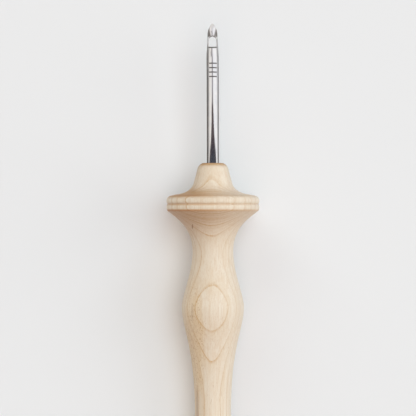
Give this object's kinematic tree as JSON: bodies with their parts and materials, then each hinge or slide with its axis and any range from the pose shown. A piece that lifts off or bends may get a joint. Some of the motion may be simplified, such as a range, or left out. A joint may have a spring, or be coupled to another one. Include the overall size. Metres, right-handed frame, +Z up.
{
  "type": "punch needle",
  "caption": "Punch needle for loop pile: slotted hollow steel needle with an eyed point, bonded into a turned wooden handle with a beaded collar.",
  "frame": {"origin": "on the table, under the middle of the tool's bounding box, with the tool lying on the edges of its yarn slot", "axes": "+Y towards the needle's point, +Z up, +X to the right when looking along +Y; the tool's axis rises about 4.5 degrees towards the point"},
  "size_m": [0.0296, 0.159, 0.0295],
  "materials": {
    "handle_wood": "pale maple, turned and satin waxed",
    "needle_steel": "polished stainless tube"
  },
  "bodies": {
    "root": {"handle": "handle_wood", "needle": "needle_steel"}
  },
  "joints": []
}
